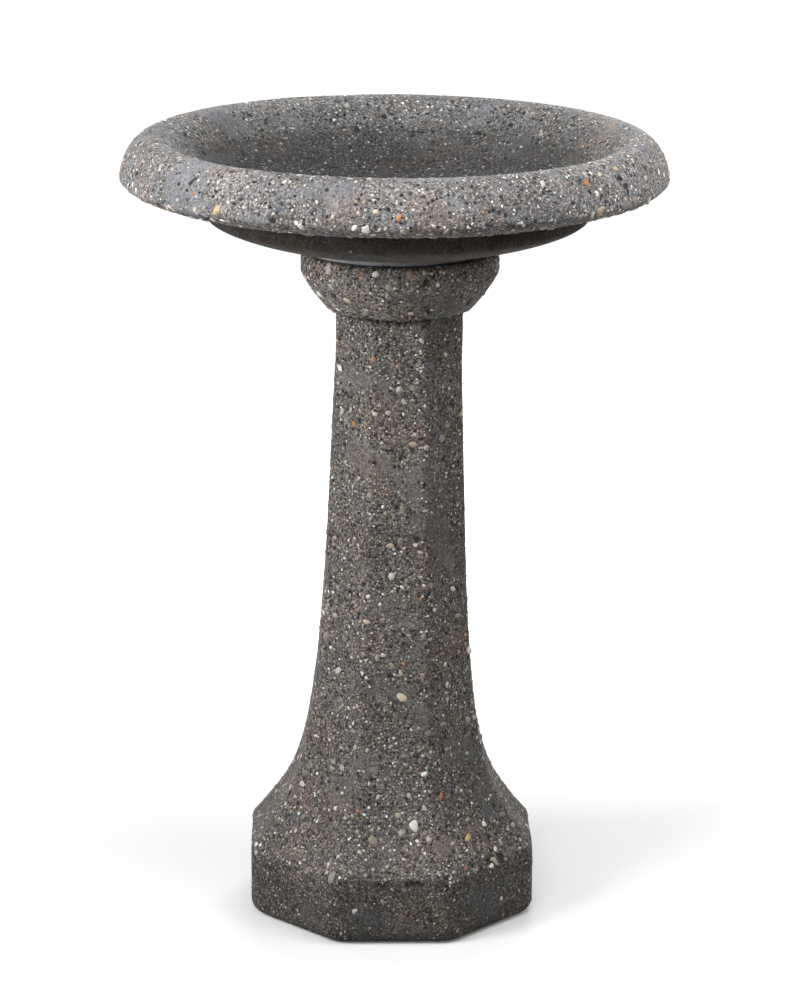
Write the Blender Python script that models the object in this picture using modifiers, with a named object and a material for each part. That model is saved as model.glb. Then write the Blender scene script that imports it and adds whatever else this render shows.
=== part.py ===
"""Cast-concrete bird bath: a shallow round bowl that lifts off an octagonal pedestal.

Metres, +Z up. The origin is the middle of the pedestal's underside, on the ground, and the object's
axis is Z. The pedestal's flats face +X, -X, +Y and -Y. Run it with
blender --background --python part.py, or from Blender's text editor.
"""
import math

import bpy
import bmesh
from mathutils import Matrix

COLLECTION = "aggregate_bird_bath"
CUTTERS = "aggregate_bird_bath_cutters"

# Overall sizes
OVERALL_HEIGHT = 0.750          # ground to the crest of the bowl's rim
BOWL_RADIUS = 0.254             # widest point of the rim
PLINTH_APOTHEM = 0.1355         # middle of the plinth to each of its eight flats

# Bowl rim, a thick roll that slopes outwards; drops are measured down from the crest
CREST_INSET = 0.0272            # from the widest point in to the crest
RIM_WIDEST_DROP = 0.0385
RIM_LIP_INSET = 0.036           # from the widest point in to the lower lip
RIM_LIP_DROP = 0.0535
RIM_OUTER_FULLNESS = 1.8        # 1 is a straight slope, 2 is a quarter ellipse
RIM_UNDER_FULLNESS = 1.5
LIP_ROUND = 0.0030
DRIP_GROOVE_RISE = 0.0035       # the groove behind the lip, up into the rim

# Basin
BASIN_DEPTH = 0.066
BASIN_FLOOR_RADIUS = 0.100
CREST_INNER_ROUND = 0.030       # radius of the turn from the crest into the basin
CREST_INNER_TURN = math.radians(44.0)
BASIN_WALL_REACH = 0.040        # how far the basin wall keeps its slope
BASIN_FLOOR_REACH = 0.048       # how far the floor runs out before it climbs

# Underside of the bowl
BODY_INSET = 0.0762             # from the widest point in to the wall below the rim
BODY_WALL_DROP = 0.0755         # where the wall below the rim starts to turn under
BODY_FULLNESS = 1.38
BODY_NECK_ROUND = 0.006
FOOT_RADIUS = 0.088             # flat foot that stands on the setting ring
FOOT_DROP = 0.1008
BOSS_RADIUS = 0.040             # boss under the foot that drops into the pedestal
BOSS_LENGTH = 0.030
BOSS_CHAMFER = 0.004

# Setting ring between the bowl and the pedestal
SEAT_GAP = 0.0003               # gap left where two pieces touch
RING_HEIGHT = 0.0072
RING_INSET = 0.003              # from the foot's edge in to the ring's edge
RING_EDGE = 0.0008
BOSS_CLEARANCE = 0.0015         # around the boss, in the ring

# Pedestal
PLINTH_HEIGHT = 0.066
PLINTH_CORNER = 0.015           # rounding of the eight upright edges
PLINTH_BASE_ROUND = 0.0125      # rounding of the edge at the ground
PLINTH_LEDGE_ROUND = 0.003      # rounding of the edge where the plinth meets the shoulder
SHOULDER_SLOPE = 0.75           # outward run for each unit of drop, at the ledge
SHOULDER_HEIGHT = 0.136         # from the ledge up to the shaft
SHOULDER_UPPER_REACH = 0.60     # how far the sweep keeps the shaft's lean, as a share of its height
SHOULDER_LOWER_REACH = 0.31     # how far it keeps the ledge's slope
SHAFT_NECK_APOTHEM = 0.0590
SHAFT_TAPER = 0.0120            # even widening from the neck to the foot of the shaft
SHAFT_SWEEP = 0.0068            # further widening, most of it near the foot
SHAFT_SWEEP_POWER = 5
SHAFT_STRAIGHT = 0.046          # length below the capital that has no taper
SHAFT_CORNER = 0.011

# Capital
CAPITAL_HEIGHT = 0.055
CAPITAL_OVERHANG = 0.0045       # capital's edge beyond the bowl's foot
CAPITAL_BAND = 0.018            # upright band above the flare
CAPITAL_UNDER_LEDGE = 0.003     # from the shaft's upright edges out to where the flare starts
CAPITAL_FULLNESS = 1.15
CAPITAL_TOP_ROUND = 0.005
SOCKET_CLEARANCE = 0.0025       # around the boss, in the pedestal
SOCKET_FLOOR_GAP = 0.006        # below the boss

LATHE_STEPS = 72
OCTANT_ANGLES = (-22.5, -20.0, -17.0, -11.5, -5.75, 0.0, 5.75, 11.5, 17.0, 20.0)

# Levels and radii that follow from the sizes above
FOOT_Z = OVERALL_HEIGHT - FOOT_DROP
RING_TOP_Z = FOOT_Z - SEAT_GAP
RING_BOTTOM_Z = RING_TOP_Z - RING_HEIGHT
PEDESTAL_TOP_Z = RING_BOTTOM_Z - SEAT_GAP
NECK_Z = PEDESTAL_TOP_Z - CAPITAL_HEIGHT
CAPITAL_RADIUS = FOOT_RADIUS + CAPITAL_OVERHANG
SHAFT_EDGE_RADIUS = (SHAFT_NECK_APOTHEM - SHAFT_CORNER) / math.cos(math.pi / 8) + SHAFT_CORNER
CAPITAL_UNDER_RADIUS = SHAFT_EDGE_RADIUS + CAPITAL_UNDER_LEDGE
SOCKET_RADIUS = BOSS_RADIUS + SOCKET_CLEARANCE
SOCKET_FLOOR_Z = FOOT_Z - BOSS_LENGTH - SOCKET_FLOOR_GAP


def clear_scene():
    for thing in list(bpy.data.objects):
        bpy.data.objects.remove(thing, do_unlink=True)


def new_collection(name):
    group = bpy.data.collections.new(name)
    bpy.context.scene.collection.children.link(group)
    return group


def new_material(name, colour, roughness, metallic):
    material = bpy.data.materials.new(name)
    material.use_nodes = True
    shader = material.node_tree.nodes["Principled BSDF"]
    shader.inputs["Base Color"].default_value = (*colour, 1.0)
    shader.inputs["Roughness"].default_value = roughness
    shader.inputs["Metallic"].default_value = metallic
    material.diffuse_color = (*colour, 1.0)
    return material


def quarter_curve(start, end, fullness, count, level_first):
    """Points from start to end along a quarter of a superellipse.

    level_first leaves the start level and reaches the end upright; otherwise the other way round.
    """
    points = []
    for index in range(count + 1):
        angle = 0.5 * math.pi * index / count
        near = math.sin(angle) ** (2.0 / fullness)
        far = 1.0 - math.cos(angle) ** (2.0 / fullness)
        across, along = (near, far) if level_first else (far, near)
        points.append((start[0] + (end[0] - start[0]) * across,
                       start[1] + (end[1] - start[1]) * along))
    return points


def bezier_curve(first, first_handle, last_handle, last, count):
    points = []
    for index in range(count + 1):
        t = index / count
        weights = ((1 - t) ** 3, 3 * t * (1 - t) ** 2, 3 * t * t * (1 - t), t ** 3)
        ends = (first, first_handle, last_handle, last)
        points.append(tuple(sum(w * p[axis] for w, p in zip(weights, ends)) for axis in (0, 1)))
    return points


def without_repeats(points, closest=0.0002):
    kept = [points[0]]
    for point in points[1:]:
        if math.dist(point, kept[-1]) > closest:
            kept.append(point)
    return kept


def bowl_profile():
    """Half section of the bowl from the basin's centre, over the rim, to the boss's centre."""
    crest = (BOWL_RADIUS - CREST_INSET, OVERALL_HEIGHT)
    floor_z = OVERALL_HEIGHT - BASIN_DEPTH
    turn = CREST_INNER_TURN
    wall_top = (crest[0] - CREST_INNER_ROUND * math.sin(turn),
                crest[1] - CREST_INNER_ROUND * (1.0 - math.cos(turn)))
    wall_handle = (wall_top[0] - BASIN_WALL_REACH * math.cos(turn),
                   wall_top[1] - BASIN_WALL_REACH * math.sin(turn))
    floor_edge = (BASIN_FLOOR_RADIUS, floor_z)
    floor_handle = (BASIN_FLOOR_RADIUS + BASIN_FLOOR_REACH, floor_z)
    points = [(0.0, floor_z), (BASIN_FLOOR_RADIUS * 0.5, floor_z)]
    points += bezier_curve(floor_edge, floor_handle, wall_handle, wall_top, 9)
    for index in range(3, 0, -1):
        angle = turn * index / 4
        points.append((crest[0] - CREST_INNER_ROUND * math.sin(angle),
                       crest[1] - CREST_INNER_ROUND * (1.0 - math.cos(angle))))
    widest = (BOWL_RADIUS, OVERALL_HEIGHT - RIM_WIDEST_DROP)
    lip = (BOWL_RADIUS - RIM_LIP_INSET, OVERALL_HEIGHT - RIM_LIP_DROP)
    points += quarter_curve(crest, widest, RIM_OUTER_FULLNESS, 9, True)
    points += quarter_curve(widest, lip, RIM_UNDER_FULLNESS, 6, False)
    points.append((lip[0] - LIP_ROUND, lip[1] + 0.3 * LIP_ROUND))
    neck = BOWL_RADIUS - BODY_INSET
    groove_z = lip[1] + DRIP_GROOVE_RISE
    points.append((0.5 * (lip[0] + neck), groove_z))
    points += quarter_curve((neck + BODY_NECK_ROUND, groove_z), (neck, groove_z - BODY_NECK_ROUND),
                            2.0, 3, True)
    wall_end = (neck, OVERALL_HEIGHT - BODY_WALL_DROP)
    points += quarter_curve(wall_end, (FOOT_RADIUS, FOOT_Z), BODY_FULLNESS, 9, False)
    boss_z = FOOT_Z - BOSS_LENGTH
    points += [(BOSS_RADIUS, FOOT_Z), (BOSS_RADIUS, boss_z + BOSS_CHAMFER),
               (BOSS_RADIUS - BOSS_CHAMFER, boss_z), (0.0, boss_z)]
    return without_repeats(points)


def ring_profile():
    outer = FOOT_RADIUS - RING_INSET
    inner = BOSS_RADIUS + BOSS_CLEARANCE
    return [(inner + RING_EDGE, RING_TOP_Z), (outer - RING_EDGE, RING_TOP_Z),
            (outer, RING_TOP_Z - RING_EDGE), (outer, RING_BOTTOM_Z + RING_EDGE),
            (outer - RING_EDGE, RING_BOTTOM_Z), (inner + RING_EDGE, RING_BOTTOM_Z),
            (inner, RING_BOTTOM_Z + RING_EDGE), (inner, RING_TOP_Z - RING_EDGE)]


def turned(name, points, origin_z, group, material, closed=False):
    """A solid of revolution about Z from a half section, with its origin at origin_z on the axis."""
    mesh = bpy.data.meshes.new(name)
    links = [(index, index + 1) for index in range(len(points) - 1)]
    if closed:
        links.append((len(points) - 1, 0))
    mesh.from_pydata([(radius, 0.0, height - origin_z) for radius, height in points], links, [])
    thing = bpy.data.objects.new(name, mesh)
    group.objects.link(thing)
    thing.location = (0.0, 0.0, origin_z)
    screw = thing.modifiers.new("turn", "SCREW")
    screw.axis = "Z"
    screw.angle = 2.0 * math.pi
    screw.steps = LATHE_STEPS
    screw.render_steps = LATHE_STEPS
    screw.use_merge_vertices = True
    screw.merge_threshold = 0.0001
    screw.use_smooth_shade = True
    mesh.materials.append(material)
    return thing


def octagon_point(apothem, corner, degrees, middle):
    """Point of a rounded octagon at an angle of degrees from the flat that faces middle."""
    angle = math.radians(abs(degrees))
    half = math.radians(22.5)
    inset = apothem - corner
    centre = (inset, inset * math.tan(half))
    if apothem * math.tan(angle) <= centre[1]:
        reach = apothem / math.cos(angle)
    else:
        along = centre[0] * math.cos(angle) + centre[1] * math.sin(angle)
        square = centre[0] ** 2 + centre[1] ** 2 - corner ** 2
        reach = along + math.sqrt(max(along * along - square, 0.0))
    heading = math.radians(middle + degrees)
    return (reach * math.cos(heading), reach * math.sin(heading))


def section(apothem, corner, height):
    corner = min(corner, apothem)
    points = []
    for middle in range(0, 360, 45):
        for degrees in OCTANT_ANGLES:
            x, y = octagon_point(apothem, corner, degrees, middle)
            points.append((x, y, height))
    return points


def shaft_apothem(share):
    """Half width of the shaft a share of the way down from the neck to its foot."""
    return SHAFT_NECK_APOTHEM + SHAFT_TAPER * share + SHAFT_SWEEP * share ** SHAFT_SWEEP_POWER


def plinth_sections():
    rows = []
    for index in range(4):
        angle = 0.5 * math.pi * index / 3
        inset = PLINTH_BASE_ROUND * (1.0 - math.sin(angle))
        height = PLINTH_BASE_ROUND * (1.0 - math.cos(angle))
        rows.append((PLINTH_APOTHEM - inset, PLINTH_CORNER, height))
    turn = 0.5 * math.pi - math.atan(1.0 / SHOULDER_SLOPE)
    setback = PLINTH_LEDGE_ROUND * math.tan(0.5 * turn)
    for index in range(4):
        angle = turn * index / 3
        rows.append((PLINTH_APOTHEM - PLINTH_LEDGE_ROUND * (1.0 - math.cos(angle)), PLINTH_CORNER,
                     PLINTH_HEIGHT - setback + PLINTH_LEDGE_ROUND * math.sin(angle)))
    return rows


def shoulder_sections(ledge, shaft_foot, foot_lean):
    """Concave sweep from the plinth's ledge up to the foot of the shaft."""
    drop = shaft_foot[1] - ledge[1]
    upper = (shaft_foot[0] + SHOULDER_UPPER_REACH * drop * foot_lean,
             shaft_foot[1] - SHOULDER_UPPER_REACH * drop)
    lower = (ledge[0] - SHOULDER_LOWER_REACH * drop * SHOULDER_SLOPE,
             ledge[1] + SHOULDER_LOWER_REACH * drop)
    rows = []
    steps = 9
    for index, (apothem, height) in enumerate(bezier_curve(ledge, lower, upper, shaft_foot, steps)):
        corner = PLINTH_CORNER + (SHAFT_CORNER - PLINTH_CORNER) * index / steps
        rows.append((apothem, corner, height))
    return rows[1:]


def capital_sections():
    rows = []
    band_z = PEDESTAL_TOP_Z - CAPITAL_BAND
    for radius, height in quarter_curve((CAPITAL_UNDER_RADIUS, NECK_Z), (CAPITAL_RADIUS, band_z),
                                        CAPITAL_FULLNESS, 6, True):
        rows.append((radius, radius, height))
    for radius, height in quarter_curve((CAPITAL_RADIUS, PEDESTAL_TOP_Z - CAPITAL_TOP_ROUND),
                                        (CAPITAL_RADIUS - CAPITAL_TOP_ROUND, PEDESTAL_TOP_Z),
                                        2.0, 3, False):
        rows.append((radius, radius, height))
    return rows


def pedestal_sections():
    """Rounded octagons from the ground to the neck, then the circles of the capital."""
    rows = plinth_sections()
    foot_z = PLINTH_HEIGHT + SHOULDER_HEIGHT
    straight_z = NECK_Z - SHAFT_STRAIGHT
    lean = (SHAFT_TAPER + SHAFT_SWEEP_POWER * SHAFT_SWEEP) / (straight_z - foot_z)
    ledge = (rows[-1][0], rows[-1][2])
    rows += shoulder_sections(ledge, (shaft_apothem(1.0), foot_z), lean)
    steps = 7
    for index in range(1, steps + 1):
        height = foot_z + (straight_z - foot_z) * index / steps
        rows.append((shaft_apothem(1.0 - index / steps), SHAFT_CORNER, height))
    rows.append((SHAFT_NECK_APOTHEM, SHAFT_CORNER, NECK_Z))
    return rows + capital_sections()


def lofted(name, sections, group, material):
    """A closed solid through a stack of sections that all have the same number of points."""
    shape = bmesh.new()
    loops = [[shape.verts.new(point) for point in section(*row)] for row in sections]
    for lower, upper in zip(loops[:-1], loops[1:]):
        for index in range(len(lower)):
            after = (index + 1) % len(lower)
            shape.faces.new((lower[index], lower[after], upper[after], upper[index]))
    shape.faces.new(list(reversed(loops[0])))
    shape.faces.new(loops[-1])
    mesh = bpy.data.meshes.new(name)
    shape.to_mesh(mesh)
    shape.free()
    mesh.shade_smooth()
    mesh.set_sharp_from_angle(angle=math.radians(35.0))
    mesh.materials.append(material)
    thing = bpy.data.objects.new(name, mesh)
    group.objects.link(thing)
    return thing


def cylinder_cutter(name, radius, bottom, top, group):
    shape = bmesh.new()
    bmesh.ops.create_cone(shape, cap_ends=True, segments=LATHE_STEPS, radius1=radius, radius2=radius,
                          depth=top - bottom, matrix=Matrix.Translation((0.0, 0.0, 0.5 * (top + bottom))))
    mesh = bpy.data.meshes.new(name)
    shape.to_mesh(mesh)
    shape.free()
    cutter = bpy.data.objects.new(name, mesh)
    cutter.hide_render = True
    cutter.display_type = "WIRE"
    group.objects.link(cutter)
    return cutter


def cut(thing, cutter):
    step = thing.modifiers.new(cutter.name, "BOOLEAN")
    step.operation = "DIFFERENCE"
    step.solver = "EXACT"
    step.object = cutter


def main():
    clear_scene()
    parts = new_collection(COLLECTION)
    cutters = new_collection(CUTTERS)
    concrete = new_material("pedestal_aggregate_concrete", (0.115, 0.105, 0.095), 0.88, 0.0)
    bowl_concrete = new_material("bowl_aggregate_concrete", (0.130, 0.122, 0.114), 0.85, 0.0)
    cement = new_material("smooth_grey_cement", (0.200, 0.200, 0.205), 0.75, 0.0)

    pedestal = lofted("pedestal", pedestal_sections(), parts, concrete)
    socket = cylinder_cutter("boss_socket", SOCKET_RADIUS, SOCKET_FLOOR_Z,
                             PEDESTAL_TOP_Z + BOSS_LENGTH, cutters)
    cut(pedestal, socket)

    turned("seat_ring", ring_profile(), RING_BOTTOM_Z, parts, cement, closed=True)
    turned("bowl", bowl_profile(), FOOT_Z, parts, bowl_concrete)


main()
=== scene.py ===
"""Looks of the exposed-aggregate concrete bird bath: rough cast skins with real embedded stones.

Lengths are in metres. A heading is in degrees from the front towards +X.
"""
import itertools
import math

import bmesh
import bpy
import numpy as np
from mathutils import Matrix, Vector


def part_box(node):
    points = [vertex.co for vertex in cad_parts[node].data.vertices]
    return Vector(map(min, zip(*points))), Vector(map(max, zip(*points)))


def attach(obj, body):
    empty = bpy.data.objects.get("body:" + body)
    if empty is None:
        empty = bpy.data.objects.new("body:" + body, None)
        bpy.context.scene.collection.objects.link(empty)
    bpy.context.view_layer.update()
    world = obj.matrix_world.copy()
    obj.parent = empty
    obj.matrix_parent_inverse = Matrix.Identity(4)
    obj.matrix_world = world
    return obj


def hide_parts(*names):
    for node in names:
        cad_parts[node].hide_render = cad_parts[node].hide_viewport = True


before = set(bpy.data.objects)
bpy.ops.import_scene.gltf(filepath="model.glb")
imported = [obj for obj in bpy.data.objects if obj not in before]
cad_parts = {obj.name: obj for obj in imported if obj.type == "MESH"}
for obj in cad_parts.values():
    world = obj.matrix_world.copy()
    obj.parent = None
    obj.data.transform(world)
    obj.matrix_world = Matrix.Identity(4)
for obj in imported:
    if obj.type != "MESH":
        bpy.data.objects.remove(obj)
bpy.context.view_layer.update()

# ---------------------------------------------------------------- sizes, as in the CAD
_, bowl_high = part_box("bowl")
_, pedestal_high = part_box("pedestal")
ring_low, ring_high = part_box("seat_ring")
TOP = bowl_high.z
BOWL_RADIUS = bowl_high.x
PLINTH_APOTHEM = pedestal_high.x
PEDESTAL_TOP = pedestal_high.z

CREST_INSET, CREST_INNER_ROUND, CREST_INNER_TURN = 0.0272, 0.030, math.radians(44.0)
RIM_WIDEST_DROP, RIM_LIP_INSET, RIM_LIP_DROP = 0.0385, 0.036, 0.0535
RIM_OUTER_FULLNESS, RIM_UNDER_FULLNESS, LIP_ROUND, DRIP_GROOVE_RISE = 1.8, 1.5, 0.0030, 0.0035
BASIN_DEPTH, BASIN_FLOOR_RADIUS, BASIN_WALL_REACH, BASIN_FLOOR_REACH = 0.066, 0.100, 0.040, 0.048
BODY_INSET, BODY_WALL_DROP, BODY_FULLNESS, BODY_NECK_ROUND = 0.0762, 0.0755, 1.38, 0.006
FOOT_RADIUS, FOOT_DROP, BOSS_RADIUS, BOSS_LENGTH, BOSS_CHAMFER = 0.088, 0.1008, 0.040, 0.030, 0.004

PLINTH_HEIGHT, PLINTH_CORNER, PLINTH_BASE_ROUND, PLINTH_LEDGE_ROUND = 0.066, 0.028, 0.0125, 0.003
SHOULDER_SLOPE, SHOULDER_HEIGHT, SHOULDER_UPPER_REACH, SHOULDER_LOWER_REACH = 0.75, 0.136, 0.60, 0.31
SHAFT_NECK_APOTHEM, SHAFT_TAPER, SHAFT_SWEEP, SHAFT_SWEEP_POWER = 0.0590, 0.0120, 0.0068, 5
SHAFT_STRAIGHT, SHAFT_CORNER = 0.046, 0.011
CAPITAL_HEIGHT, CAPITAL_OVERHANG, CAPITAL_BAND, CAPITAL_UNDER_LEDGE = 0.055, 0.0045, 0.018, 0.003
CAPITAL_FULLNESS, CAPITAL_TOP_ROUND = 1.15, 0.005
SOCKET_CLEARANCE, SOCKET_FLOOR_GAP = 0.0025, 0.006

FOOT_Z = TOP - FOOT_DROP
NECK_Z = PEDESTAL_TOP - CAPITAL_HEIGHT
CAPITAL_RADIUS = FOOT_RADIUS + CAPITAL_OVERHANG
SHAFT_EDGE_RADIUS = (SHAFT_NECK_APOTHEM - SHAFT_CORNER) / math.cos(math.pi / 8) + SHAFT_CORNER
CAPITAL_UNDER_RADIUS = SHAFT_EDGE_RADIUS + CAPITAL_UNDER_LEDGE

# The photographed castings aren't quite true. The boss, the socket and all else within TRUE_RADIUS stay on
# the axis.
LEAN_AT_TOP, LEAN_START, BODY_SHIFT, TRUE_RADIUS = 0.0055, 0.08, 0.0036, 0.060
BODY_SHIFT_START, BODY_SHIFT_END, CAPITAL_EDGE_WIDTH = 0.050, 0.080, 0.008

# ---------------------------------------------------------------- camera
CAMERA_DISTANCE, CAMERA_HEIGHT = 3.229, 1.3075
CAMERA_PITCH, CAMERA_SWING, CAMERA_ROLL = math.radians(15.718), -0.0242, 0.0060
CAMERA_ASIDE, CAMERA_LENS = 0.0068, 127.1


def link(thing):
    bpy.context.scene.collection.objects.link(thing)
    return thing


def make_camera():
    data = bpy.data.cameras.new("camera")
    data.sensor_width = 36.0
    data.lens = CAMERA_LENS
    data.clip_start, data.clip_end = 0.1, 60.0
    camera = link(bpy.data.objects.new("camera", data))
    swing = Matrix.Rotation(CAMERA_SWING, 4, "Z")
    place = Matrix.Translation((CAMERA_ASIDE, -CAMERA_DISTANCE, CAMERA_HEIGHT))
    tilt = Matrix.Rotation(math.pi / 2 - CAMERA_PITCH, 4, "X")
    camera.matrix_world = swing @ place @ tilt @ Matrix.Rotation(CAMERA_ROLL, 4, "Z")
    bpy.context.scene.camera = camera


make_camera()


# ---------------------------------------------------------------- numbers: noise, curves and places
def hashed(cells, seed):
    """Random value from 0 to 1 for each whole-number cell."""
    x, y, z = (cells[..., k].astype(np.int64).astype(np.uint64) for k in range(3))
    n = (x * np.uint64(73856093)) ^ (y * np.uint64(19349663)) ^ (z * np.uint64(83492791))
    n = (n ^ np.uint64(seed * 2654435761)) & np.uint64(0xFFFFFFFF)
    for _ in range(3):
        n = ((n ^ (n >> np.uint64(15))) * np.uint64(2246822519)) & np.uint64(0xFFFFFFFF)
        n = n ^ (n >> np.uint64(13))
    return n.astype(float) / 4294967296.0


def value_noise(points, size, seed):
    """Smooth noise from -1 to 1 whose lumps are about size across."""
    place = points / size + 100.37
    cell = np.floor(place)
    share = place - cell
    share = share * share * (3.0 - 2.0 * share)
    total = np.zeros(len(points))
    for corner in itertools.product((0, 1), repeat=3):
        dx, dy, dz = corner
        weight = (np.where(dx, share[:, 0], 1 - share[:, 0])
                  * np.where(dy, share[:, 1], 1 - share[:, 1])
                  * np.where(dz, share[:, 2], 1 - share[:, 2]))
        total += weight * hashed(cell + np.array(corner), seed)
    return 2.0 * total - 1.0


def rough_noise(points, size, seed, octaves=3, gain=0.5):
    """Noise from -1 to 1 with ever finer lumps, each octave gain times as high as the one before."""
    total, scale = np.zeros(len(points)), 0.0
    for octave in range(octaves):
        total += gain ** octave * value_noise(points, size / 2 ** octave, seed + 17 * octave)
        scale += gain ** octave
    return total / scale


def smooth_step(value, low, high):
    """0 up to low, 1 from high on, and eased between."""
    share = np.clip((value - low) / (high - low), 0.0, 1.0)
    return share * share * (3.0 - 2.0 * share)


ROUND = 2.0


def quarter_curve(start, end, fullness, count, level_first):
    """A quarter of a superellipse, left level or upright; fullness 1 is straight and ROUND an ellipse."""
    points = []
    for index in range(count + 1):
        angle = 0.5 * math.pi * index / count
        near = math.sin(angle) ** (2.0 / fullness)
        far = 1.0 - math.cos(angle) ** (2.0 / fullness)
        across, along = (near, far) if level_first else (far, near)
        points.append((start[0] + (end[0] - start[0]) * across,
                       start[1] + (end[1] - start[1]) * along))
    return points


def bezier_curve(first, first_handle, last_handle, last, count):
    ends = np.array((first, first_handle, last_handle, last))
    t = np.linspace(0.0, 1.0, count + 1)[:, None]
    weights = np.hstack(((1 - t) ** 3, 3 * t * (1 - t) ** 2, 3 * t * t * (1 - t), t ** 3))
    return [tuple(p) for p in weights @ ends]


def evenly(points, spacing):
    """Points along a polyline at about that spacing, both ends kept."""
    points = np.array(points, float)
    steps = np.r_[0.0, np.cumsum(np.linalg.norm(np.diff(points, axis=0), axis=1))]
    keep = np.r_[True, np.diff(steps) > 1e-9]
    points, steps = points[keep], steps[keep]
    count = max(1, int(round(steps[-1] / spacing)))
    marks = np.linspace(0.0, steps[-1], count + 1)
    return np.column_stack([np.interp(marks, steps, points[:, k]) for k in range(points.shape[1])])


def facing(heading, reach, height):
    """The point at that heading, distance from the axis and height."""
    angle = math.radians(heading)
    return reach * math.sin(angle), -reach * math.cos(angle), height


# ---------------------------------------------------------------- meshes made of rings
def ring_mesh(rows, downwards):
    """Vertices and faces of a closed skin through rings of points; the count may halve or double.

    downwards is True where the rings run from the top to the bottom of the piece.
    """
    starts, vertices = [], []
    for row in rows:
        starts.append(len(vertices))
        vertices.extend(row)
    faces = []
    for k in range(len(rows) - 1):
        low, high, a, b = len(rows[k]), len(rows[k + 1]), starts[k], starts[k + 1]
        few = min(low, high)
        up, down = high // few, low // few
        for i in range(few):
            lower = [a + (i * down + j) % low for j in range(down + 1)]
            upper = [b + (i * up + j) % high for j in range(up, -1, -1)]
            faces.append(lower + upper)
    faces.append(list(range(len(rows[0])))[::-1])
    faces.append([starts[-1] + i for i in range(len(rows[-1]))])
    if downwards:
        faces = [face[::-1] for face in faces]
    return np.array(vertices), faces


def new_mesh(name, vertices, faces, material):
    mesh = bpy.data.meshes.new(name)
    mesh.from_pydata(vertices.tolist(), [], faces)
    mesh.update()
    mesh.shade_smooth()
    mesh.materials.append(material)
    return link(bpy.data.objects.new(name, mesh))


def positions_and_normals(mesh):
    found = []
    for source, key in ((mesh.vertices, "co"), (mesh.vertex_normals, "vector")):
        values = np.empty(len(mesh.vertices) * 3, np.float32)
        source.foreach_get(key, values)
        found.append(values.reshape(-1, 3).astype(float))
    return found


def float_attribute(mesh, name, values):
    layer = mesh.attributes.new(name, "FLOAT", "POINT")
    layer.data.foreach_set("value", values.astype(np.float32))


def colour_attribute(mesh, name, values):
    layer = mesh.attributes.new(name, "FLOAT_COLOR", "POINT")
    four = np.ones((len(values), 4), np.float32)
    four[:, :3] = values
    layer.data.foreach_set("color", four.ravel())


def bake_map(mesh, uv):
    layer = mesh.uv_layers.new(name="OFBake")
    layer.data.foreach_set("uv", uv.astype(np.float32).ravel())


MAP_SIDE_MARGIN, MAP_END_MARGIN = 0.002, 0.03
CAP_MAP_CENTRES, CAP_MAP_RADIUS = ((0.012, 0.012), (0.012, 0.985)), 0.009


def strip_uvs(mesh, rows, ring_shares):
    """A map for the bake: once round is its width, along the section its height, the end caps are discs."""
    along = np.concatenate([np.full(len(r), s) for r, s in zip(rows, ring_shares)])
    turn = np.concatenate([np.arange(len(r)) / len(r) for r in rows])
    loops = np.empty(len(mesh.loops), np.int32)
    mesh.loops.foreach_get("vertex_index", loops)
    count = np.empty(len(mesh.polygons), np.int32)
    mesh.polygons.foreach_get("loop_total", count)
    face_of = np.repeat(np.arange(len(count)), count)
    u = turn[loops]
    highest = np.zeros(len(count))
    np.maximum.at(highest, face_of, u)
    u = np.where((u < 0.25) & (highest[face_of] > 0.75), u + 1.0, u)     # faces that close the round
    uv = np.column_stack((MAP_SIDE_MARGIN + (1.0 - 2.0 * MAP_SIDE_MARGIN) * u,
                          MAP_END_MARGIN + (1.0 - 2.0 * MAP_END_MARGIN) * along[loops]))
    for face, centre in zip((len(count) - 2, len(count) - 1), CAP_MAP_CENTRES):
        inside = face_of == face
        angle = 2 * math.pi * turn[loops[inside]]
        uv[inside] = np.column_stack((centre[0] + CAP_MAP_RADIUS * np.cos(angle),
                                      centre[1] + CAP_MAP_RADIUS * np.sin(angle)))
    bake_map(mesh, uv)


# ---------------------------------------------------------------- rings and sections of the two castings
FULL, HALF, QUARTER = 640, 320, 160      # points round the bowl
AROUND = 320                             # points round the pedestal
LAST_RING_RADIUS = 0.003                 # a flat face closes the skin inside this
LONG_CURVE, CURVE, SHORT_CURVE, SMALL_CURVE = 60, 30, 12, 8      # steps along a curve before it is respaced


def round_ring(columns, radius, height):
    angle = 2.0 * math.pi * np.arange(columns) / columns
    return np.column_stack((radius * np.cos(angle), radius * np.sin(angle), np.full(columns, height)))


def octagon_ring(columns, apothem, height, corner):
    """An octagon with rounded corners. Where the corner radius is the apothem, it is a circle."""
    corner = min(corner, apothem)
    half = math.pi / 8
    inset = apothem - corner
    heading = 2.0 * math.pi * (np.arange(columns) + 0.5) / columns
    off = np.abs((heading + half) % (2 * half) - half)
    flat = apothem / np.cos(off)
    along = inset * np.cos(off) + inset * math.tan(half) * np.sin(off)
    square = inset ** 2 + (inset * math.tan(half)) ** 2 - corner ** 2
    reach = np.where(apothem * np.tan(off) <= inset * math.tan(half), flat,
                     along + np.sqrt(np.maximum(along * along - square, 0.0)))
    return np.column_stack((reach * np.cos(heading), reach * np.sin(heading), np.full(columns, height)))


def stacked(spans, ring):
    """Rows of points, span name of each row and its share of the way along the section."""
    rows, names, path = [], [], []
    for name, line, spacing, columns in spans:
        points = evenly(line, spacing)
        for point in points[1:] if rows else points:
            rows.append(ring(columns, *point))
            names.append(name)
            path.append(point[:2])
    steps = np.r_[0.0, np.cumsum(np.linalg.norm(np.diff(np.array(path), axis=0), axis=1))]
    return rows, names, steps / steps[-1]


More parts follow.
